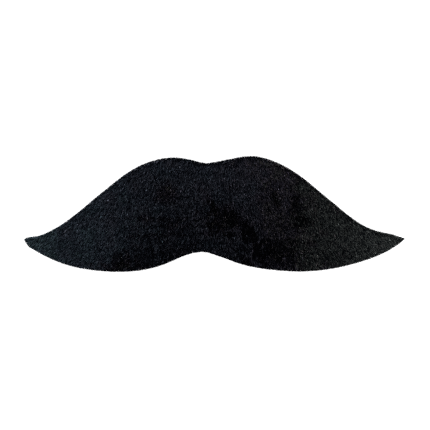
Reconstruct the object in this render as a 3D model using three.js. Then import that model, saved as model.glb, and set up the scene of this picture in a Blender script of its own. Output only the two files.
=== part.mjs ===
// A fake moustache cut from short-pile plush cloth, lying face up as it comes out of its bag.
// Millimetres. +X runs along the moustache, +Y towards the nose, +Z out of the pile.
// The origin is under the middle of the moustache, on the adhesive face that goes against the lip.
import * as THREE from 'three';
import { ParametricGeometry } from 'three/addons/geometries/ParametricGeometry.js';
import { mergeVertices } from 'three/addons/utils/BufferGeometryUtils.js';

// The cut shape
const SPAN = 130; // tip to tip
const HEIGHT = 39.5; // lowest point of a lobe to the top of the higher hump

// The cloth
const CLOTH_THICKNESS = 2.4; // ground cloth and laid pile together
const EDGE_ROUND = 1.1; // radius at which the pile rolls over the cut edge
const HEM_ROUND = 0.25; // radius at which the ground cloth turns up to the cut edge
const TIP_THINNING = 0.9; // how much lower the pile stands at the very tips
const TIP_THINNING_RUN = 9; // length over which it comes down to that
const TIP_LIFT = 2.2; // how far the tips curl off the table
const BRUSH_MARK_DEPTH = 0.4; // how far the deepest mark in the pile goes down

// The adhesive strip on the back
const STRIP_LENGTH = 66;
const STRIP_WIDTH = 12;
const STRIP_THICKNESS = 0.5; // foam tape with its paper
const STRIP_CORNER = 2;
const STRIP_TO_LIP_EDGE = 6.5; // cloth that shows below the strip, at the middle of the moustache
const STRIP_GAP = 0.05; // between the strip and the cloth that it is stuck to
const FLAT_MARGIN = 2; // cloth that stays flat past each end of the strip

// How finely the cloth is drawn
const STATIONS = 84; // sections from tip to tip
const FACE_STEPS = 12; // steps across the pile side of a section
const BACK_STEPS = 8; // steps across the back
const ROUND_STEPS = 4; // steps round the rolled pile edge
const CORNER_STEPS = 6; // steps round each corner of the strip
const SAME_POINT = 1e-3; // points closer than this are one

// The cut edges. along is a share of half the span from the middle, and up a share of half the height.
const NOSE_EDGE = [
  { along: -1.0, up: -0.44 }, // left tip
  { along: -0.985, up: -0.415 },
  { along: -0.92, up: -0.38 },
  { along: -0.81, up: -0.2 },
  { along: -0.72, up: 0.02 },
  { along: -0.6, up: 0.35 },
  { along: -0.44, up: 0.75 },
  { along: -0.33, up: 0.915 },
  { along: -0.22, up: 0.975 }, // left hump
  { along: -0.13, up: 0.94 },
  { along: -0.05, up: 0.875 }, // dip
  { along: 0.03, up: 0.915 },
  { along: 0.2, up: 1.0 }, // right hump
  { along: 0.3, up: 0.925 },
  { along: 0.42, up: 0.725 },
  { along: 0.61, up: 0.225 },
  { along: 0.76, up: -0.165 },
  { along: 0.84, up: -0.29 },
  { along: 0.94, up: -0.365 },
  { along: 1.0, up: -0.43 }, // right tip
];
const LIP_EDGE = [
  { along: -1.0, up: -0.44 }, // left tip
  { along: -0.985, up: -0.535 },
  { along: -0.94, up: -0.635 },
  { along: -0.86, up: -0.775 },
  { along: -0.74, up: -0.915 },
  { along: -0.52, up: -1.0 }, // left lobe
  { along: -0.38, up: -0.97 },
  { along: -0.27, up: -0.875 },
  { along: -0.15, up: -0.71 },
  { along: -0.06, up: -0.655 }, // notch
  { along: 0.03, up: -0.74 },
  { along: 0.14, up: -0.87 },
  { along: 0.25, up: -0.945 },
  { along: 0.47, up: -0.995 }, // right lobe
  { along: 0.66, up: -0.92 },
  { along: 0.86, up: -0.715 },
  { along: 0.95, up: -0.555 },
  { along: 1.0, up: -0.43 }, // right tip
];

// Marks where the pile was pressed or brushed. Places are shares as above, long and wide are shares of half the
// span, turn is in degrees from +X, and depth is a share of the deepest mark.
const BRUSH_MARKS = [
  { along: 0.06, up: -0.02, long: 0.13, wide: 0.07, turn: -25, depth: 1.0 },
  { along: 0.24, up: -0.6, long: 0.16, wide: 0.07, turn: -50, depth: 1.0 },
  { along: -0.27, up: 0.36, long: 0.1, wide: 0.06, turn: -10, depth: 0.7 },
  { along: 0.43, up: 0.04, long: 0.12, wide: 0.05, turn: -75, depth: 0.6 },
  { along: -0.54, up: -0.8, long: 0.12, wide: 0.07, turn: 0, depth: 0.6 },
];

const plush = new THREE.MeshStandardMaterial({ color: 0x131417, roughness: 0.95, metalness: 0 });
const releasePaper = new THREE.MeshStandardMaterial({ color: 0xe6dfcf, roughness: 0.55, metalness: 0 });

const halfSpan = SPAN / 2;
const halfHeight = HEIGHT / 2;
const backLevel = STRIP_THICKNESS + STRIP_GAP; // the cloth's back above the table

// A smooth edge through a table's points, as y in millimetres for a share of half the span.
function edgeThrough(table) {
  const alongs = table.map((row) => row.along);
  const ups = table.map((row) => row.up * halfHeight);
  const spline = new THREE.CubicInterpolant(alongs, ups, 1);
  return (along) => spline.evaluate(along)[0];
}

const noseEdge = edgeThrough(NOSE_EDGE);
const lipEdge = edgeThrough(LIP_EDGE);

// How far the back stands off its flat level at x: nothing over the strip, then a curl up to the tips.
function curl(x) {
  const flatHalf = STRIP_LENGTH / 2 + FLAT_MARGIN;
  const past = Math.max(0, Math.abs(x) - flatHalf) / (halfSpan - flatHalf);
  return TIP_LIFT * past * past;
}

// How deep the pile is marked at a point.
function brushed(x, y) {
  return BRUSH_MARKS.reduce((deep, mark) => {
    const turn = THREE.MathUtils.degToRad(mark.turn);
    const offset = new THREE.Vector2(x - mark.along * halfSpan, y - mark.up * halfHeight);
    offset.rotateAround(new THREE.Vector2(), -turn);
    const reach = Math.hypot(offset.x / (mark.long * halfSpan), offset.y / (mark.wide * halfSpan));
    const dip = mark.depth * BRUSH_MARK_DEPTH * (1 - THREE.MathUtils.smoothstep(reach, 0, 1));
    return Math.max(deep, dip);
  }, 0);
}

// One section across the moustache, as a ring of points: along the back, up the nose edge, over the pile and
// down the lip edge.
function sectionAt(along) {
  const x = along * halfSpan;
  const nose = noseEdge(along);
  const lip = lipEdge(along);
  const width = Math.max(nose - lip, 0);
  const back = backLevel + curl(x);
  const fromTip = halfSpan - Math.abs(x);
  const thinning = TIP_THINNING * (1 - THREE.MathUtils.smoothstep(fromTip, 0, TIP_THINNING_RUN));
  const wall = CLOTH_THICKNESS - thinning;
  const face = back + wall;
  const round = Math.min(EDGE_ROUND, width / 2, wall / 2);
  const hem = Math.min(HEM_ROUND, width / 2, wall / 2);
  const ring = [];
  for (let i = 0; i <= BACK_STEPS; i++) {
    ring.push([lip + hem + (width - 2 * hem) * (i / BACK_STEPS), back]);
  }
  ring.push([nose, back + hem]);
  for (let i = 0; i <= ROUND_STEPS; i++) {
    const angle = (Math.PI / 2) * (i / ROUND_STEPS);
    ring.push([nose - round + round * Math.cos(angle), face - round + round * Math.sin(angle)]);
  }
  for (let i = 1; i < FACE_STEPS; i++) {
    const y = nose - round - (width - 2 * round) * (i / FACE_STEPS);
    ring.push([y, face - brushed(x, y)]);
  }
  for (let i = ROUND_STEPS; i >= 0; i--) {
    const angle = (Math.PI / 2) * (i / ROUND_STEPS);
    ring.push([lip + round - round * Math.cos(angle), face - round + round * Math.sin(angle)]);
  }
  ring.push([lip, back + hem]);
  ring.push(ring[0]);
  return ring.map(([y, z]) => new THREE.Vector3(x, y, z));
}

// Joins the points that a surface draws twice, and drops the triangles that have no area where it closes to a line.
function closed(surface) {
  surface.deleteAttribute('normal');
  surface.deleteAttribute('uv');
  const joined = mergeVertices(surface, SAME_POINT);
  const corners = joined.index.array;
  const kept = [];
  for (let i = 0; i < corners.length; i += 3) {
    const [a, b, c] = corners.slice(i, i + 3);
    if (a !== b && b !== c && c !== a) kept.push(a, b, c);
  }
  joined.setIndex(kept);
  joined.computeVertexNormals();
  return joined;
}

// The cloth: sections skinned from the left tip to the right one, set closer together towards the tips.
function plushCloth() {
  const rings = [];
  for (let i = 0; i <= STATIONS; i++) {
    rings.push(sectionAt(Math.sin((i / STATIONS - 0.5) * Math.PI)));
  }
  const around = rings[0].length - 1;
  const pointOn = (u, v, target) => target.copy(rings[Math.round(v * STATIONS)][Math.round(u * around)]);
  const cloth = new THREE.Mesh(closed(new ParametricGeometry(pointOn, around, STATIONS)), plush);
  cloth.name = 'plush_cloth';
  return cloth;
}

// The adhesive strip: a flat plate with round corners, its lower face on the table.
function adhesiveStrip() {
  const straightX = STRIP_LENGTH / 2 - STRIP_CORNER;
  const straightY = STRIP_WIDTH / 2 - STRIP_CORNER;
  const outline = new THREE.Shape();
  outline.absarc(straightX, straightY, STRIP_CORNER, 0, Math.PI / 2);
  outline.absarc(-straightX, straightY, STRIP_CORNER, Math.PI / 2, Math.PI);
  outline.absarc(-straightX, -straightY, STRIP_CORNER, Math.PI, 1.5 * Math.PI);
  outline.absarc(straightX, -straightY, STRIP_CORNER, 1.5 * Math.PI, 2 * Math.PI);
  const plate = new THREE.ExtrudeGeometry(outline, {
    depth: STRIP_THICKNESS,
    bevelEnabled: false,
    curveSegments: CORNER_STEPS,
  });
  const strip = new THREE.Mesh(plate, releasePaper);
  strip.name = 'adhesive_strip';
  strip.position.y = lipEdge(0) + STRIP_TO_LIP_EDGE + STRIP_WIDTH / 2;
  return strip;
}

const moustache = new THREE.Group();
moustache.add(plushCloth());
moustache.add(adhesiveStrip());

export default moustache;
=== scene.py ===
# A fake moustache of black brushed plush, lying face up on a white table and seen from straight above.
# Metres, in the part's own frame: +X along the moustache, +Y towards the nose, +Z out of the pile.
import math

import bpy
import numpy as np
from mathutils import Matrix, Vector


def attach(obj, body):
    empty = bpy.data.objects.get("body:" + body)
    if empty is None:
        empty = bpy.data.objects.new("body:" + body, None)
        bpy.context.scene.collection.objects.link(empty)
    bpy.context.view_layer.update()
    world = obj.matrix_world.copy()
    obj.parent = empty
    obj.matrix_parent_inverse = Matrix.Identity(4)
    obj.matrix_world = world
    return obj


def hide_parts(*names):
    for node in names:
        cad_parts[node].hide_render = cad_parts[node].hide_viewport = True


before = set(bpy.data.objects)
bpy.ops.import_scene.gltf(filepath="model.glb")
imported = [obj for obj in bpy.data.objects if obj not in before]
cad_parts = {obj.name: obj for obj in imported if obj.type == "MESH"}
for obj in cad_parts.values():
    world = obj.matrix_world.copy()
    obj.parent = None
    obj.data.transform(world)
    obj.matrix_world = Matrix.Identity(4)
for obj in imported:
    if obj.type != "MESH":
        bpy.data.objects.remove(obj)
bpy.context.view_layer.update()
bpy.ops.object.select_all(action="DESELECT")
mm = 0.001


# The cut shape, read off the solid: its two edges, its back and its face at each section along X.
sectionRoom = 0.01 * mm  # corners this close along X are of one section
solidCorners = np.array([v.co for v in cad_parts["plush_cloth"].data.vertices])
sectionOf = np.round(solidCorners[:, 0] / sectionRoom)
sections = [solidCorners[sectionOf == s] for s in np.unique(sectionOf)]
cut = {
    "x": np.array([s[:, 0].mean() for s in sections]),
    "nose": np.array([s[:, 1].max() for s in sections]),
    "lip": np.array([s[:, 1].min() for s in sections]),
    "back": np.array([s[:, 2].min() for s in sections]),
    "face": np.array([s[:, 2].max() for s in sections]),
}
halfSpan = cut["x"].max()
halfHeight = (cut["nose"].max() - cut["lip"].min()) / 2
cut["noseCos"] = 1 / np.hypot(1, np.gradient(cut["nose"], cut["x"]))
cut["lipCos"] = 1 / np.hypot(1, np.gradient(cut["lip"], cut["x"]))
tiny = 1e-9  # keeps a length that is divided by from being nought


def at(what, x):  # one of the cut's values at any x
    return np.interp(x, cut["x"], cut[what])


def insideBy(x, y):  # how far a point lies inside the cut, and less than nought outside it
    toNose = (at("nose", x) - y) * at("noseCos", x)
    toLip = (y - at("lip", x)) * at("lipCos", x)
    return np.minimum(np.minimum(toNose, toLip), halfSpan - np.abs(x))


def linear(hexColour):  # an sRGB hex colour as linear RGBA
    parts = [int(hexColour[i : i + 2], 16) / 255 for i in (1, 3, 5)]
    return (*[p / 12.92 if p <= 0.04045 else ((p + 0.055) / 1.055) ** 2.4 for p in parts], 1)


def addMaterial(name):
    made = bpy.data.materials.new(name)
    made.use_nodes = True
    made.node_tree.nodes.clear()
    return made


def addNode(material, kind, settings=None, inputs=None):
    made = material.node_tree.nodes.new(kind)
    for name, value in (settings or {}).items():
        setattr(made, name, value)
    for name, value in (inputs or {}).items():
        if isinstance(value, bpy.types.NodeSocket):
            material.node_tree.links.new(value, made.inputs[name])
        else:
            made.inputs[name].default_value = value
    return made


def setStops(ramp, stops):
    while len(ramp.color_ramp.elements) < len(stops):
        ramp.color_ramp.elements.new(0.5)
    for element, (place, colour) in zip(ramp.color_ramp.elements, stops):
        element.position = place
        element.color = linear(colour)


def finishMaterial(material, shader):
    addNode(material, "ShaderNodeOutputMaterial", inputs={"Surface": shader.outputs[0]})
    return material


# Materials

paletteMap = "OFBake"  # across it the fibres go from deep to pale, and up it from cast to cast
paletteWidth = 0.01  # a face with no width on the palette would bake black


# Acrylic fibre, spun black, brushed and sheared: the deepest fibres are blue black and the rest go
# up to a dull grey, a few carry a painted glint where they bend, and each stretch of pile has a
# faint blue, violet or green cast.
pileLook = {
    "shades": [
        (0.0, "#010102"),
        (0.08, "#06070b"),
        (0.2, "#161719"),
        (0.5, "#343435"),
        (0.9, "#606060"),
        (1.0, "#b4b4b4"),  # the painted glints alone
    ],
    "casts": [
        (0.0, "#c6f2f6"),
        (0.12, "#c4e8ff"),
        (0.25, "#cde2ff"),
        (0.36, "#d8e2ff"),
        (0.45, "#dfe8ff"),
        (0.62, "#ebdcff"),
        (0.7, "#fff0ec"),
        (0.8, "#e8f7f2"),
        (1.0, "#f6fff8"),
    ],
    "roughness": (0.62, 0.42),  # dull dark fibres, smoother pale ones
    "ior": 1.49,  # acrylic
    "specular": 0.01,  # far under a plain surface's 0.5, because fibres shade each other's gloss
}


def makePileMaterial(look):
    material = addMaterial("brushedAcrylicPile")
    palette = addNode(material, "ShaderNodeUVMap", {"uv_map": paletteMap})
    parts = addNode(material, "ShaderNodeSeparateXYZ", inputs={0: palette.outputs["UV"]})
    shade = addNode(material, "ShaderNodeValToRGB", inputs={"Fac": parts.outputs["X"]})
    setStops(shade, look["shades"])
    cast = addNode(material, "ShaderNodeValToRGB", inputs={"Fac": parts.outputs["Y"]})
    setStops(cast, look["casts"])
    colour = addNode(
        material,
        "ShaderNodeMix",
        {"data_type": "RGBA", "blend_type": "MULTIPLY"},
        {0: 1.0, 6: shade.outputs["Color"], 7: cast.outputs["Color"]},
    )
    rough = addNode(
        material,
        "ShaderNodeMapRange",
        inputs={
            "Value": parts.outputs["X"],
            "To Min": look["roughness"][0],
            "To Max": look["roughness"][1],
        },
    )
    shader = addNode(
        material,
        "ShaderNodeBsdfPrincipled",
        inputs={
            "Base Color": colour.outputs[2],
            "Roughness": rough.outputs["Result"],
            "IOR": look["ior"],
            "Specular IOR Level": look["specular"],
        },
    )
    return finishMaterial(material, shader)


# Textured polyester yarn, dyed black and knitted: matte, with painted light on the crown of each stitch.
yarnLook = {
    "shades": [(0.0, "#020203"), (0.5, "#0b0b0e"), (1.0, "#1b1c20")],
    "roughness": (0.9, 0.7),
    "ior": 1.57,  # polyester
    "specular": 0.12,
}


def makeYarnMaterial(look):
    material = addMaterial("texturedPolyesterYarn")
    palette = addNode(material, "ShaderNodeUVMap", {"uv_map": paletteMap})
    parts = addNode(material, "ShaderNodeSeparateXYZ", inputs={0: palette.outputs["UV"]})
    shade = addNode(material, "ShaderNodeValToRGB", inputs={"Fac": parts.outputs["X"]})
    setStops(shade, look["shades"])
    rough = addNode(
        material,
        "ShaderNodeMapRange",
        inputs={
            "Value": parts.outputs["X"],
            "To Min": look["roughness"][0],
            "To Max": look["roughness"][1],
        },
    )
    shader = addNode(
        material,
        "ShaderNodeBsdfPrincipled",
        inputs={
            "Base Color": shade.outputs["Color"],
            "Roughness": rough.outputs["Result"],
            "IOR": look["ior"],
            "Specular IOR Level": look["specular"],
        },
    )
    return finishMaterial(material, shader)


# Black polyester ground cloth, brushed: a flat matte black in which the pile is rooted.
groundLook = {
    "gap": (0.35, "#020305"),  # places on the fuzz pattern, and their colours
    "thread": (0.7, "#07080b"),
    "fuzz": 0.35 * mm,
    "fuzzDetail": 3,
    "relief": 0.06 * mm,
    "roughness": 0.85,
    "ior": 1.57,  # polyester
    "specular": 0.02,
}


def makeGroundMaterial(look):
    material = addMaterial("blackPolyesterGroundCloth")
    place = addNode(material, "ShaderNodeTexCoord")
    fuzz = addNode(
        material,
        "ShaderNodeTexNoise",
        inputs={
            "Vector": place.outputs["Object"],
            "Scale": 1 / look["fuzz"],
            "Detail": look["fuzzDetail"],
        },
    )
    colour = addNode(material, "ShaderNodeValToRGB", inputs={"Fac": fuzz.outputs["Fac"]})
    setStops(colour, [look["gap"], look["thread"]])
    bump = addNode(
        material, "ShaderNodeBump", inputs={"Height": fuzz.outputs["Fac"], "Distance": look["relief"]}
    )
    shader = addNode(
        material,
        "ShaderNodeBsdfPrincipled",
        inputs={
            "Base Color": colour.outputs["Color"],
            "Normal": bump.outputs["Normal"],
            "Roughness": look["roughness"],
            "IOR": look["ior"],
            "Specular IOR Level": look["specular"],
        },
    )
    return finishMaterial(material, shader)


# Glassine release paper, calendered and siliconed: warm white, faintly cloudy, with a soft gloss.
paperLook = {
    "cloud": (0.3, "#c4b79c"),  # places on the cloud pattern, and their colours
    "pale": (0.7, "#d9d0bc"),
    "cloudSize": 4 * mm,
    "cloudDetail": 4,
    "fibreSize": 0.4 * mm,
    "fibreDetail": 2,
    "roughness": (0.34, 0.5),
    "relief": 0.01 * mm,
    "ior": 1.45,
}


def makePaperMaterial(look):
    material = addMaterial("siliconedGlassinePaper")
    place = addNode(material, "ShaderNodeTexCoord")
    cloud = addNode(
        material,
        "ShaderNodeTexNoise",
        inputs={
            "Vector": place.outputs["Object"],
            "Scale": 1 / look["cloudSize"],
            "Detail": look["cloudDetail"],
        },
    )
    fibre = addNode(
        material,
        "ShaderNodeTexNoise",
        inputs={
            "Vector": place.outputs["Object"],
            "Scale": 1 / look["fibreSize"],
            "Detail": look["fibreDetail"],
        },
    )
    colour = addNode(material, "ShaderNodeValToRGB", inputs={"Fac": cloud.outputs["Fac"]})
    setStops(colour, [look["cloud"], look["pale"]])
    rough = addNode(
        material,
        "ShaderNodeMapRange",
        inputs={
            "Value": fibre.outputs["Fac"],
            "To Min": look["roughness"][0],
            "To Max": look["roughness"][1],
        },
    )
    bump = addNode(
        material, "ShaderNodeBump", inputs={"Height": fibre.outputs["Fac"], "Distance": look["relief"]}
    )
    shader = addNode(
        material,
        "ShaderNodeBsdfPrincipled",
        inputs={
            "Base Color": colour.outputs["Color"],
            "Roughness": rough.outputs["Result"],
            "Normal": bump.outputs["Normal"],
            "IOR": look["ior"],
        },
    )
    return finishMaterial(material, shader)


pileMaterial = makePileMaterial(pileLook)
yarnMaterial = makeYarnMaterial(yarnLook)
groundMaterial = makeGroundMaterial(groundLook)
paperMaterial = makePaperMaterial(paperLook)
print("stage: materials made")


# Ground cloth: a sheet that fills the cut, a little inside the pile's edge
groundCloth = {
    "thickness": 0.55 * mm,
    "above": 0.12 * mm,  # its own back above the stitches' lowest points
    "inset": 0.3 * mm,  # the pile covers its edge
    "insetShare": 0.3,  # of the cloth's width, at most
    "narrowest": 0.02 * mm,
    "across": 200,
    "up": 24,
    "smoothUnder": 50,  # degrees
}


def groundTop(x):
    return at("back", x) + groundCloth["above"] + groundCloth["thickness"]


def groundInset(x):  # less at the tips
    width = at("nose", x) - at("lip", x)
    return np.minimum(groundCloth["inset"], groundCloth["insetShare"] * width)


def makeGroundCloth(cloth):
    bpy.ops.mesh.primitive_grid_add(x_subdivisions=cloth["across"], y_subdivisions=cloth["up"], size=1)
    piece = bpy.context.object
    piece.name = "ground_cloth"
    mesh = piece.data
    share = np.array([v.co for v in mesh.vertices]) + 0.5
    x = np.sin((share[:, 0] - 0.5) * math.pi) * (halfSpan - cloth["inset"])  # closest at the tips
    low = at("lip", x) + groundInset(x) / at("lipCos", x)
    high = at("nose", x) - groundInset(x) / at("noseCos", x)
    y = low + share[:, 1] * np.maximum(high - low, cloth["narrowest"])
    mesh.vertices.foreach_set("co", np.stack([x, y, groundTop(x)], 1).ravel())
    mesh.update()
    thicken = piece.modifiers.new("thicken", "SOLIDIFY")
    thicken.thickness = cloth["thickness"]
    thicken.offset = -1
    bpy.ops.object.modifier_apply(modifier=thicken.name)
    bpy.ops.object.shade_smooth_by_angle(angle=math.radians(cloth["smoothUnder"]))
    mesh.materials.append(groundMaterial)
    piece.select_set(False)
    return piece


groundPiece = makeGroundCloth(groundCloth)
print("stage: ground cloth made")


def readPattern(piece):  # takes a modelled piece away and keeps its corners and triangles
    bpy.ops.object.mode_set(mode="EDIT")
    bpy.ops.mesh.select_all(action="SELECT")
    bpy.ops.mesh.normals_make_consistent(inside=False)
    bpy.ops.mesh.quads_convert_to_tris()
    bpy.ops.object.mode_set(mode="OBJECT")
    corners = np.array([v.co for v in piece.data.vertices])
    triangles = np.array([p.vertices for p in piece.data.polygons])
    bpy.data.objects.remove(piece)
    return corners, triangles


# Makes one piece of many copies. A batch is the copies' corners, the triangles of one of them, and
# each corner's place on the palette, which is the map that the fibres' materials read.
def joinCopies(name, batches, material):
    corners, faces, palette, first = [], [], [], 0
    for batchCorners, triangles, batchPalette in batches:
        copies, cornerCount = batchCorners.shape[:2]
        starts = first + np.arange(copies)[:, None, None] * cornerCount
        corners.append(batchCorners.reshape(-1, 3))
        faces.append((triangles[None] + starts).reshape(-1, 3))
        palette.append(batchPalette.reshape(-1, 2))
        first += copies * cornerCount
    corners, faces, palette = np.concatenate(corners), np.concatenate(faces), np.concatenate(palette)
    mesh = bpy.data.meshes.new(name)
    mesh.vertices.add(len(corners))
    mesh.vertices.foreach_set("co", corners.astype(np.float32).ravel())
    mesh.loops.add(faces.size)
    mesh.loops.foreach_set("vertex_index", faces.astype(np.int32).ravel())
    mesh.polygons.add(len(faces))
    mesh.polygons.foreach_set("loop_start", np.arange(0, faces.size, 3, dtype=np.int32))
    mesh.polygons.foreach_set("use_smooth", np.ones(len(faces), bool))
    mesh.update(calc_edges=True)
    layer = mesh.uv_layers.new(name=paletteMap)
    layer.uv.foreach_set("vector", palette[faces.ravel()].astype(np.float32).ravel())
    mesh.materials.append(material)
    piece = bpy.data.objects.new(name, mesh)
    bpy.context.scene.collection.objects.link(piece)
    return piece


# Knit back: the legs of the stitches, which stand in columns of V shapes under the ground cloth
knit = {
    "seed": 5,
    "walePitch": 1.0 * mm,  # coarser than the real 0.7 mm, for it to show
    "coursePitch": 0.8 * mm,
    "legWidth": 0.34 * mm,
    "legDepth": 0.2 * mm,
    "footSpread": 0.1 * mm,  # from the middle of the V
    "headSpread": 0.36 * mm,
    "overlap": 0.22 * mm,  # how far a stitch reaches over the next one
    "sink": 0.07 * mm,  # how much higher a leg's head lies than its foot
    "unevenness": 0.03 * mm,
    "edgeRoom": 0.3 * mm,
    "mostCut": 0.9,  # of a leg that crosses the cut
    "plump": (1.15, 1.15, 1.1),  # how much fuller a leg is than the round it is made from
    "bow": 0.25,  # outwards, in half widths
    "lowest": 1.15 * 0.87,  # in half depths, how far a three-sided leg hangs below its middle
    "shade": 0.5,
    "shadeVaries": 0.12,
    "crown": 0.4,  # painted light: how much paler its lowest side is
    "palette": (0.02, 0.98),
}


def modelStitchLeg(knit):
    bpy.ops.mesh.primitive_uv_sphere_add(segments=3, ring_count=3, radius=1)
    piece = bpy.context.object
    for v in piece.data.vertices:
        v.select = abs(v.co.z) < 0.9  # all but the two ends
    bpy.ops.object.mode_set(mode="EDIT")
    bpy.ops.transform.resize(value=knit["plump"])
    bpy.ops.transform.translate(value=(knit["bow"], 0, 0))
    bpy.ops.object.mode_set(mode="OBJECT")
    return readPattern(piece)


def knitBack(knit):
    rng = np.random.default_rng(knit["seed"])
    wales = np.arange(-halfSpan, halfSpan, knit["walePitch"])
    courses = np.arange(-halfHeight, halfHeight, knit["coursePitch"])
    stitches = np.stack(np.meshgrid(wales, courses), -1).reshape(-1, 2)
    stitches = stitches[insideBy(*stitches.T) > knit["edgeRoom"]]
    side = np.tile([-1.0, 1.0], len(stitches))
    middle = np.repeat(stitches, 2, axis=0) + rng.normal(0, knit["unevenness"], (2 * len(stitches), 2))
    reach = (knit["coursePitch"] + knit["overlap"]) / 2
    foot = middle + np.stack([side * knit["footSpread"], np.full(len(side), -reach)], 1)
    head = middle + np.stack([side * knit["headSpread"], np.full(len(side), reach)], 1)
    # Legs that cross the cut end at it.
    for end, other in ((foot, head), (head, foot)):
        out = insideBy(*end.T) - knit["edgeRoom"]
        room = insideBy(*other.T) - knit["edgeRoom"]
        over = np.clip(-out / np.maximum(room - out, tiny), 0, knit["mostCut"])[:, None]
        end += (other - end) * over * (out < 0)[:, None]

    pattern, triangles = modelStitchLeg(knit)
    px, py, pz = [pattern[:, i][None, :, None] for i in range(3)]
    legWay = head - foot
    long = np.linalg.norm(legWay, axis=1)[:, None]
    legWay = legWay / np.maximum(long, tiny)
    acrossWay = np.stack([legWay[:, 1], -legWay[:, 0]], 1) * side[:, None]
    flat = ((foot + head) / 2)[:, None] + pz * (legWay * long / 2)[:, None]
    flat = flat + px * (acrossWay * knit["legWidth"] / 2)[:, None]
    lift = knit["legDepth"] / 2 * (knit["lowest"] - py) + knit["sink"] * (1 + pz) / 2
    height = at("back", flat[:, :, 0])[:, :, None] + lift
    corners = np.concatenate([flat, height], 2)

    legShade = knit["shade"] + knit["shadeVaries"] * rng.normal(0, 1, len(side))
    # Painted light on each leg's crown.
    shade = legShade[:, None] + knit["crown"] * pattern[:, 1][None]
    cast = np.full(shade.shape, 0.5) + paletteWidth * pattern[:, 0][None]
    palette = np.stack([shade, cast], 2).clip(*knit["palette"])
    # A left leg is a right one mirrored, so its triangles turn the other way round.
    left, right = side < 0, side > 0
    batches = [
        (corners[right], triangles, palette[right]),
        (corners[left], triangles[:, ::-1], palette[left]),
    ]
    print("stage: knit back", len(side), "stitch legs")
    return joinCopies("knit_back", batches, yarnMaterial)


knitPiece = knitBack(knit)


# Pile: bent strands and straight ones, each modelled once and copied in small locks all over the
# cloth, with blunt ones along the cut edge and on the ground cloth's own edge
pile = {
    "seed": 11,
    "lockPitch": 0.4 * mm,
    "lockLong": 0.2 * mm,  # a lock's strands stand one behind the other, the way the pile lies
    "lockWide": 0.07 * mm,
    "length": 2.0 * mm,
    "lengthVaries": 0.14,
    "lengthRange": (0.5, 1.5),
    "tallest": 1.12,  # the shears go over it, so none stands much higher than the rest
    "radiusVaries": 0.2,
    "radiusRange": (0.6, 1.5),
    "lockLeanVaries": 8,  # degrees, as the three below
    "leanVaries": 11,
    "lockTurnVaries": 12,
    "turnVaries": 10,
    "rootLeans": 0.5,  # how much of a change in lean shows at the root
    "rootDepth": 0.15 * mm,  # how far a root sinks into the ground cloth
    "outwards": 0.85,  # how much the pile turns outwards at the ground cloth's edge
    "outwardsReach": 0.35 * mm,  # and how far inside it
    "leastHeading": 0.3,
    "pastCut": 0.09 * mm,  # how far the pile reaches past the cut, and how unevenly
    "pastCutVaries": 0.025 * mm,
    "shortest": 0.15,  # share of its length that a strand keeps at the cut
    "cutRun": 2.2,  # about the length of one cut edge, in half spans
    "pieces": [
        "pile_left_tip",
        "pile_left_wing",
        "pile_left_hump",
        "pile_right_hump",
        "pile_right_wing",
        "pile_right_tip",
    ],
}
# A radius is at the root, and about five times the real fibre's, for the pile to close over the
# cloth. The tip's is a share of it. Leans are in degrees off upright.
bentStrands = {
    "perLock": 1,
    "radius": 0.055 * mm,
    "tipRadius": 0,
    "waist": 1.9,  # nearly as thick half way up as at its root
    "rootLean": 12,
    "tipLean": 54,
    "shadeFrom": 0,
}
straightStrands = {
    "perLock": 7,
    "radius": 0.062 * mm,
    "tipRadius": 0,
    "rootLean": 36,
    "tipLean": 36,
    "shadeFrom": 0,
}
edgeStrands = {
    "step": 0.045 * mm,
    "deepest": 0.25 * mm,
    "radius": 0.065 * mm,
    "tipRadius": 0.6,
    "rootLean": 36,
    "tipLean": 36,
    "shadeFrom": 0.4,  # light reaches their roots from the side
}
fringe = {
    "step": 0.045 * mm,
    "deepest": 0.02 * mm,
    "length": 0.5 * mm,
    "lengthRange": (0.7, 1.3),
    "radius": 0.062 * mm,
    "tipRadius": 0.6,
    "lean": (62, 112),
    "bend": 15,
    "turnVaries": 25,
    "levels": (0.15, 0.9),  # where it stands on the ground cloth's edge, in shares of its thickness
    "rootDepth": 0.08 * mm,
    "marked": 0.3,  # as dark as if it were brushed that much
}
# The way the pile lies along the moustache, in degrees from straight towards the lip edge. A
# positive one turns it to the right.
napTurns = [(-1.0, -40), (-0.6, -33), (-0.3, -14), (0.0, 0), (0.3, 10), (0.7, 23), (1.0, 32)]
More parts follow.
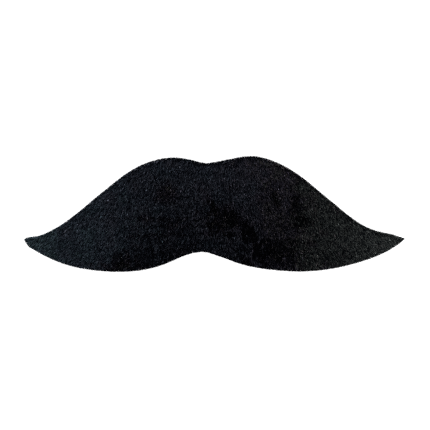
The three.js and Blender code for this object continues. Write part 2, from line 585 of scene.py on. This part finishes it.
# Where it was pressed or brushed the wrong way: there the pile stands up, swirls and is shorter, and
# painted shade darkens it. Places are shares of half the span and half the height, sizes are shares
# of half the span, and turn is in degrees from +X.
brushMarks = [
    {"along": -0.01, "up": 0.15, "long": 0.08, "wide": 0.045, "turn": -60, "strength": 1.0},
    {"along": 0.05, "up": -0.07, "long": 0.15, "wide": 0.08, "turn": -14, "strength": 0.8},
    {"along": 0.185, "up": -0.33, "long": 0.12, "wide": 0.05, "turn": -58, "strength": 1.0},
    {"along": 0.24, "up": -0.63, "long": 0.1, "wide": 0.06, "turn": -45, "strength": 1.0},
    {"along": 0.18, "up": -0.84, "long": 0.07, "wide": 0.05, "turn": -20, "strength": 0.6},
    {"along": 0.32, "up": -0.56, "long": 0.11, "wide": 0.08, "turn": -40, "strength": 0.65},
    {"along": 0.32, "up": 0.31, "long": 0.04, "wide": 0.025, "turn": -80, "strength": 0.6},
    {"along": 0.42, "up": 0.23, "long": 0.07, "wide": 0.035, "turn": -75, "strength": 0.6},
    {"along": 0.44, "up": 0.03, "long": 0.12, "wide": 0.05, "turn": -80, "strength": 0.4},
    {"along": 0.45, "up": -0.12, "long": 0.05, "wide": 0.04, "turn": 0, "strength": 0.75},
    {"along": -0.25, "up": 0.4, "long": 0.13, "wide": 0.07, "turn": -5, "strength": 0.38},
    {"along": -0.48, "up": -0.86, "long": 0.13, "wide": 0.07, "turn": 8, "strength": 0.65},
    {"along": -0.3, "up": -0.72, "long": 0.26, "wide": 0.11, "turn": 15, "strength": 0.25},
    {"along": -0.2, "up": -0.14, "long": 0.1, "wide": 0.04, "turn": 0, "strength": 0.4},
    {"along": -0.25, "up": -0.07, "long": 0.2, "wide": 0.02, "turn": -3, "strength": 0.4},
    {"along": -0.32, "up": -0.35, "long": 0.2, "wide": 0.02, "turn": 2, "strength": 0.4},
]
# What brushing does
brushing = {
    "ragged": [(0.4, 2 * mm), (0.4, 0.7 * mm)],  # how much a mark's edge wanders, and in what steps
    "edge": 1.6,  # how steeply a mark fades out
    "swirl": 35,  # degrees that a lock is turned either way
    "upright": 16,  # degrees that a strand stands up
    "shorter": 0.15,
    "evener": 0.2,  # how much less the strands differ in shade
}
# A strand's shade, on a scale from the deepest fibre, 0, to the palest, 1: first along the moustache,
# paler on the wings and tips with painted light that they catch
shadesAlong = [
    (-1.0, 0.52),
    (-0.84, 0.37),
    (-0.73, 0.32),
    (-0.6, 0.31),
    (-0.42, 0.21),
    (-0.2, 0.155),
    (0.0, 0.16),
    (0.3, 0.145),
    (0.43, 0.145),
    (0.53, 0.19),
    (0.74, 0.25),
    (0.85, 0.31),
    (1.0, 0.4),
]
shades = {
    "upward": 0.12,  # painted light: paler towards the nose edge, as if lit from that side, except at the tips
    "marks": -0.235,  # painted shade where it was brushed, with the pile turned from the light
    "noseRim": (0.06, 0.45 * mm),  # painted light along the nose edge, where the rim catches it: how much, and how far in
    "wander": (0.04, 3 * mm),  # how far the borders along the moustache wander, and in what steps
    "wide": (0.012, 6 * mm),  # soft patches: how much, and how large
    "narrow": (0.02, 1.6 * mm),
    "rows": 0.03,  # painted shade in faint dark rows from tip to tip, where the pile parts a little
    "rowPitch": 2.6 * mm,
    "rowStart": 1.5 * mm,
    "rowWander": (0.15, 10 * mm),
    "spread": 0.16,  # most strands are darker than the mean and a few are much paler
    "spreadGain": 1.4,  # and the more so, the paler the pile is
    "lockEvenness": 14.0,
    "strandEvenness": 0.8,
    "glintShare": 0.008,  # of all strands
    "glintPaler": 0.5,  # all along, with a painted glint where they bend
    "palest": 0.9,  # of all but the glints
    "root": 0.4,  # painted shade deep in the pile: the share of its shade that a strand has at the root
    "tip": 1.2,
    "palette": (0.003, 0.997),
}
# How clear the rows are, along the moustache
rowsAlong = [(-0.95, 0.3), (-0.6, 1.0), (-0.1, 1.0), (0.1, 0.2), (0.45, 0.6), (1.0, 0.6)]
# Its colour cast, along the moustache, from blue over violet to green
castsAlong = [
    (-1.0, 0.07),
    (-0.85, 0.15),
    (-0.5, 0.28),
    (0.05, 0.4),
    (0.2, 0.46),
    (0.3, 0.62),
    (0.41, 0.64),
    (0.5, 0.8),
    (1.0, 0.95),
]
casts = {
    "marks": 0.69,  # the cast where it was brushed
    "wide": (0.16, 4 * mm),
    "locks": 0.05,  # how much one lock differs from the next, and one strand from the next
    "strands": 0.05,
}


def modelStrand(kind):  # three-sided and one high, with its root at the origin
    bpy.ops.mesh.primitive_cone_add(
        vertices=3, radius1=1, radius2=kind["tipRadius"], depth=1, location=(0, 0, 0.5)
    )
    piece = bpy.context.object
    bpy.ops.object.transform_apply(location=True)
    if "waist" in kind:
        bpy.ops.object.mode_set(mode="EDIT")
        bpy.ops.mesh.select_all(action="SELECT")
        bpy.ops.mesh.bisect(plane_co=(0, 0, 0.5), plane_no=(0, 0, 1))
        bpy.ops.object.mode_set(mode="OBJECT")
        for v in piece.data.vertices:
            v.select = abs(v.co.z - 0.5) < 0.01  # the new ring
        bpy.ops.object.mode_set(mode="EDIT")
        bpy.ops.transform.resize(value=(kind["waist"], kind["waist"], 1))
    return readPattern(piece)


def patches(rng, x, y, size):  # soft patches of that size, about -1 to 1
    heights = rng.normal(0, 0.6, (int(2 * halfSpan / size) + 5, int(2 * halfHeight / size) + 5))
    u = (x + halfSpan) / size + 1.5
    v = (y + halfHeight) / size + 1.5
    i, j = np.floor(u).astype(int), np.floor(v).astype(int)
    fu, fv = u - i, v - j
    fu, fv = fu * fu * (3 - 2 * fu), fv * fv * (3 - 2 * fv)
    low = heights[i, j] * (1 - fu) + heights[i + 1, j] * fu
    high = heights[i, j + 1] * (1 - fu) + heights[i + 1, j + 1] * fu
    return low * (1 - fv) + high * fv


def brushedAt(x, y):  # from 0 to 1, with ragged edges that are the same for every kind of strand
    rng = np.random.default_rng(pile["seed"])
    ragged = sum(much * patches(rng, x, y, size) for much, size in brushing["ragged"])
    deepest = np.zeros(len(x))
    for mark in brushMarks:
        turn = math.radians(mark["turn"])
        dx = x - mark["along"] * halfSpan
        dy = y - mark["up"] * halfHeight
        u = (dx * math.cos(turn) + dy * math.sin(turn)) / (mark["long"] * halfSpan)
        v = (dy * math.cos(turn) - dx * math.sin(turn)) / (mark["wide"] * halfSpan)
        near = np.clip(brushing["edge"] * (1 - np.hypot(u, v) + ragged), 0, 1)
        deepest = np.maximum(deepest, mark["strength"] * near * near * (3 - 2 * near))
    return deepest


def napTurn(x):
    return np.interp(x / halfSpan, *zip(*napTurns))


def pushOut(x, y):  # the way to the nearest cut edge
    step = 0.05 * mm
    slopeX = insideBy(x - step, y) - insideBy(x + step, y)
    slopeY = insideBy(x, y - step) - insideBy(x, y + step)
    return np.stack([slopeX, slopeY], 1) / np.maximum(np.hypot(slopeX, slopeY), tiny)[:, None]


def edgePoints(rng, step, deepest):  # points along both cut edges, from the ground cloth's edge inwards
    count = int(pile["cutRun"] * halfSpan / step)
    x = np.sort(rng.uniform(-1, 1, (2, count)), axis=1) * (halfSpan - groundInset(0))
    depth = groundInset(x) + rng.uniform(0, deepest, x.shape)
    nose = at("nose", x[0]) - depth[0] / at("noseCos", x[0])
    lip = at("lip", x[1]) + depth[1] / at("lipCos", x[1])
    return np.concatenate([np.stack([x[0], nose], 1), np.stack([x[1], lip], 1)])


def placeLocks(rng):
    pitch = pile["lockPitch"]
    columns = np.arange(-halfSpan, halfSpan, pitch)
    ranks = np.arange(-halfHeight, halfHeight, pitch)
    place = np.stack(np.meshgrid(columns, ranks), -1).reshape(-1, 2)
    place += rng.uniform(-0.5, 0.5, place.shape) * pitch
    place = place[insideBy(*place.T) > 0]
    count = len(place)
    return {
        "place": place,
        "turn": napTurn(place[:, 0]) + rng.normal(0, pile["lockTurnVaries"], count),
        "lean": rng.normal(0, pile["lockLeanVaries"], count),
        "swirl": rng.normal(0, brushing["swirl"], count),
        "tone": rng.gamma(shades["lockEvenness"], 1 / shades["lockEvenness"], count),
        "cast": rng.normal(0, casts["locks"], count),
    }


def placeInLocks(rng, locks, kind):  # roots, the lock that each belongs to, and the way it lies
    lock = np.repeat(np.arange(len(locks["place"])), kind["perLock"])
    way = np.radians(locks["turn"])[lock]
    down = rng.normal(0, pile["lockLong"], len(lock))
    aside = rng.normal(0, pile["lockWide"], len(lock))
    root = locks["place"][lock]
    root[:, 0] += down * np.sin(way) + aside * np.cos(way)
    root[:, 1] += aside * np.sin(way) - down * np.cos(way)
    kept = insideBy(*root.T) > groundInset(root[:, 0])
    return root[kept], lock[kept], locks["turn"][lock[kept]]


def placeAlongEdge(rng, locks, kind):  # each strand borrows the shade and lean of some lock
    root = edgePoints(rng, kind["step"], kind["deepest"])
    return root, rng.integers(0, len(locks["place"]), len(root)), napTurn(root[:, 0])


def shapeStrands(rng, pattern, start, heading, rootLean, tipLean, length, radius):
    count = len(start)
    px, py, pz = [pattern[:, i][None, :, None] for i in range(3)]
    rootLean, tipLean, length = [value[:, None, None] for value in (rootLean, tipLean, length)]
    flatWay = np.concatenate([heading, np.zeros((count, 1))], 1)[:, None]
    sideWay = np.stack([heading[:, 1], -heading[:, 0], np.zeros(count)], 1)[:, None]
    upWay = np.array([0, 0, 1.0])[None, None]
    bend = rootLean + (tipLean - rootLean) * pz / 2
    core = start[:, None] + length * pz * (np.sin(bend) * flatWay + np.cos(bend) * upWay)
    lean = rootLean + (tipLean - rootLean) * pz
    overWay = np.cos(lean) * flatWay - np.sin(lean) * upWay
    thick = radius * rng.normal(1, pile["radiusVaries"], count).clip(*pile["radiusRange"])[:, None, None]
    spin = rng.uniform(0, 2 * math.pi, count)[:, None, None]
    ringX = px * np.cos(spin) - py * np.sin(spin)
    ringY = px * np.sin(spin) + py * np.cos(spin)
    return core + thick * (ringX * sideWay + ringY * overWay)


def shadeStrands(rng, x, y, marked, locks, lock, upStrand):  # each corner's place on the palette
    along = x / halfSpan + shades["wander"][0] * patches(rng, x, y, shades["wander"][1])
    # Shade along the moustache, with painted light on the paler wings and tips.
    tone = np.interp(along, *zip(*shadesAlong))
    # Painted light, paler towards the nose edge, and painted shade where the pile was brushed.
    tone += shades["upward"] * y / halfHeight * (1 - along**2) ** 2 + shades["marks"] * marked
    toNose = (at("nose", x) - y) * at("noseCos", x)
    # Painted light where the nose rim catches it.
    tone += shades["noseRim"][0] * np.exp(-toNose / shades["noseRim"][1])
    for much, size in (shades["wide"], shades["narrow"]):
        tone += much * patches(rng, x, y, size)
    # Painted shade in the rows where the pile parts.
    rowPhase = (y - shades["rowStart"]) / shades["rowPitch"]
    rowPhase += shades["rowWander"][0] * patches(rng, x, y, shades["rowWander"][1])
    tone -= shades["rows"] * np.interp(along, *zip(*rowsAlong)) * np.cos(2 * math.pi * rowPhase)
    strandTone = rng.gamma(shades["strandEvenness"], 1 / shades["strandEvenness"], len(x))
    spread = shades["spread"] * (1 + shades["spreadGain"] * tone) * (1 - brushing["evener"] * marked)
    tone += spread * (locks["tone"][lock] * strandTone - 1)
    # A few strands are painted paler, with a painted glint at their bend.
    glinting = rng.uniform(0, 1, len(x)) < shades["glintShare"]
    tone += shades["glintPaler"] * glinting
    cast = np.interp(along, *zip(*castsAlong))
    cast += (casts["marks"] - cast) * marked
    cast += casts["wide"][0] * patches(rng, x, y, casts["wide"][1])
    cast += locks["cast"][lock] + rng.normal(0, casts["strands"], len(x))
    # Painted shade deep in the pile: each strand darker at its root and paler towards its tip.
    rise = shades["root"] + (shades["tip"] - shades["root"]) * upStrand
    shade = np.minimum(tone[:, None] * rise[None], shades["palest"])
    shade += glinting[:, None] * (1 - np.abs(2 * upStrand - 1))[None]  # the painted glint, most half way up
    return np.stack([shade, cast[:, None] + paletteWidth * rise[None]], 2).clip(*shades["palette"])


def cutOff(rng, root, heading, reach):  # the share of its length that a strand keeps at the cut
    tip = root + heading * reach[:, None]
    inside, tipInside = insideBy(*root.T), insideBy(*tip.T)
    past = -pile["pastCut"] - np.abs(rng.normal(0, pile["pastCutVaries"], len(root)))
    share = np.where(tipInside < past, (inside - past) / np.maximum(inside - tipInside, tiny), 1.0)
    return np.clip(share, pile["shortest"], 1)


def growPile(rng, locks, kind, place):
    root, lock, turn = place(rng, locks, kind)
    x, y = root.T
    count = len(x)
    marked = brushedAt(x, y)
    turn = np.radians(turn + rng.normal(0, pile["turnVaries"], count) + locks["swirl"][lock] * marked)
    heading = np.stack([np.sin(turn), -np.cos(turn)], 1)
    fromEdge = insideBy(x, y) - groundInset(x)
    outwards = pile["outwards"] * np.exp(-fromEdge / pile["outwardsReach"])[:, None]
    heading = heading * (1 - outwards) + pushOut(x, y) * outwards
    # Where the two ways are opposite, a strand leans less instead.
    heading /= np.maximum(np.linalg.norm(heading, axis=1), pile["leastHeading"])[:, None]
    lean = locks["lean"][lock] + rng.normal(0, pile["leanVaries"], count) - brushing["upright"] * marked
    rootLean = np.radians(kind["rootLean"] + pile["rootLeans"] * lean)
    tipLean = np.radians(kind["tipLean"] + lean)
    meanLean = (rootLean + tipLean) / 2

    # Shorter where the cloth thins out, and no taller than the shears leave it
    room = at("face", x) - groundTop(x) + pile["rootDepth"]
    varied = rng.normal(1, pile["lengthVaries"], count).clip(*pile["lengthRange"])
    length = pile["length"] * room / wholeRoom * varied * (1 - brushing["shorter"] * marked)
    length = np.minimum(length, pile["tallest"] * room / np.cos(meanLean))
    length = length * cutOff(rng, root, heading, length * np.sin(meanLean))

    pattern, triangles = modelStrand(kind)
    start = np.stack([x, y, groundTop(x) - pile["rootDepth"]], 1)
    corners = shapeStrands(rng, pattern, start, heading, rootLean, tipLean, length, kind["radius"])
    upStrand = kind["shadeFrom"] + (1 - kind["shadeFrom"]) * pattern[:, 2]
    palette = shadeStrands(rng, x, y, marked, locks, lock, upStrand)
    return {"x": x, "corners": corners, "palette": palette, "triangles": triangles}


def growFringe(rng, locks, fringe):  # short fibres that stand out of the ground cloth's own edge
    root = edgePoints(rng, fringe["step"], fringe["deepest"])
    x, y = root.T
    count = len(x)
    outX, outY = pushOut(x, y).T
    turn = rng.normal(0, math.radians(fringe["turnVaries"]), count)
    heading = np.stack(
        [outX * np.cos(turn) - outY * np.sin(turn), outX * np.sin(turn) + outY * np.cos(turn)], 1
    )
    rootLean = np.radians(rng.uniform(*fringe["lean"], count))
    tipLean = rootLean + math.radians(fringe["bend"])
    length = fringe["length"] * rng.uniform(*fringe["lengthRange"], count)
    length = length * cutOff(rng, root, heading, length) + fringe["rootDepth"]
    level = rng.uniform(*fringe["levels"], count) * groundCloth["thickness"]
    start = np.stack([x, y, at("back", x) + groundCloth["above"] + level], 1)
    start[:, :2] -= heading * fringe["rootDepth"]
    pattern, triangles = modelStrand(fringe)
    corners = shapeStrands(rng, pattern, start, heading, rootLean, tipLean, length, fringe["radius"])
    lock = rng.integers(0, len(locks["place"]), count)
    palette = shadeStrands(rng, x, y, np.full(count, fringe["marked"]), locks, lock, pattern[:, 2])
    return {"x": x, "corners": corners, "palette": palette, "triangles": triangles}


wholeRoom = (cut["face"] - groundTop(cut["x"])).max() + pile["rootDepth"]
rng = np.random.default_rng(pile["seed"])
locks = placeLocks(rng)
strandKinds = [
    growPile(rng, locks, bentStrands, placeInLocks),
    growPile(rng, locks, straightStrands, placeInLocks),
    growPile(rng, locks, edgeStrands, placeAlongEdge),
    growFringe(rng, locks, fringe),
]
# Each piece of the pile gets as many bent strands as the next, and the end ones all that is beyond.
limits = np.quantile(strandKinds[0]["x"], np.linspace(0, 1, len(pile["pieces"]) + 1))
limits[[0, -1]] = -1, 1
pilePieces = []
for i, name in enumerate(pile["pieces"]):
    batches = []
    for kind in strandKinds:
        here = (kind["x"] >= limits[i]) & (kind["x"] < limits[i + 1])
        batches.append((kind["corners"][here], kind["triangles"], kind["palette"][here]))
    piece = joinCopies(name, batches, pileMaterial)
    pilePieces.append(piece)
    strands = [len(corners) for corners, triangles, palette in batches]
    print("stage:", name, strands, "strands", len(piece.data.polygons), "faces")


# Adhesive strip: the solid is right as it is and gets its paper.
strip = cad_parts["adhesive_strip"]
strip.data.materials.clear()
strip.data.materials.append(paperMaterial)
print("stage: adhesive strip papered")


# What rides on what
for piece in [groundPiece, knitPiece, *pilePieces]:
    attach(piece, "root")
    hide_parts("plush_cloth")


# Table, camera and lights. The table is a matte white laminate, plain on purpose.
studio = {
    "tableSize": 3.0,
    "table": "#f4f4f4",
    "tableRoughness": 0.9,
    "tableSpecular": 0.1,
    "frameWidth": 147.4 * mm,  # what the picture takes in, side to side
    "aim": (0.09 * mm, -0.39 * mm, 1.5 * mm),
    "lens": 100,
    "sensor": 36,
    "clipStart": 0.01,
    "sky": 0.7,
    "lightPlaces": [(-0.5, 0.45, 0.6), (0.5, -0.45, 0.6)],
    "lightSize": 0.3,
    "lightPower": 11,
}


def makeStudio(studio):
    bpy.ops.mesh.primitive_plane_add(size=studio["tableSize"])
    table = bpy.context.object
    table.name = "table"
    material = addMaterial("matteWhiteLaminate")
    shader = addNode(
        material,
        "ShaderNodeBsdfPrincipled",
        inputs={
            "Base Color": linear(studio["table"]),
            "Roughness": studio["tableRoughness"],
            "Specular IOR Level": studio["tableSpecular"],
        },
    )
    table.data.materials.append(finishMaterial(material, shader))

    x, y, z = studio["aim"]
    away = studio["frameWidth"] / 2 / (studio["sensor"] / 2 / studio["lens"])
    bpy.ops.object.camera_add(location=(x, y, z + away), rotation=(0, 0, 0))
    camera = bpy.context.object
    camera.data.lens = studio["lens"]
    camera.data.sensor_width = studio["sensor"]
    camera.data.clip_start = studio["clipStart"]
    bpy.context.scene.camera = camera

    for place in studio["lightPlaces"]:
        bpy.ops.object.light_add(type="AREA", location=place)
        light = bpy.context.object
        light.data.size = studio["lightSize"]
        light.data.energy = studio["lightPower"]
        light.rotation_euler = Vector([-p for p in place]).to_track_quat("-Z", "Y").to_euler()

    world = bpy.data.worlds.new("softStudio")
    world.use_nodes = True
    world.node_tree.nodes["Background"].inputs["Color"].default_value = (1, 1, 1, 1)
    world.node_tree.nodes["Background"].inputs["Strength"].default_value = studio["sky"]
    bpy.context.scene.world = world
    bpy.context.scene.view_settings.view_transform = "Standard"
    bpy.context.scene.cycles.use_denoising = False  # it would wipe out the single strands


makeStudio(studio)
print("stage: studio set")
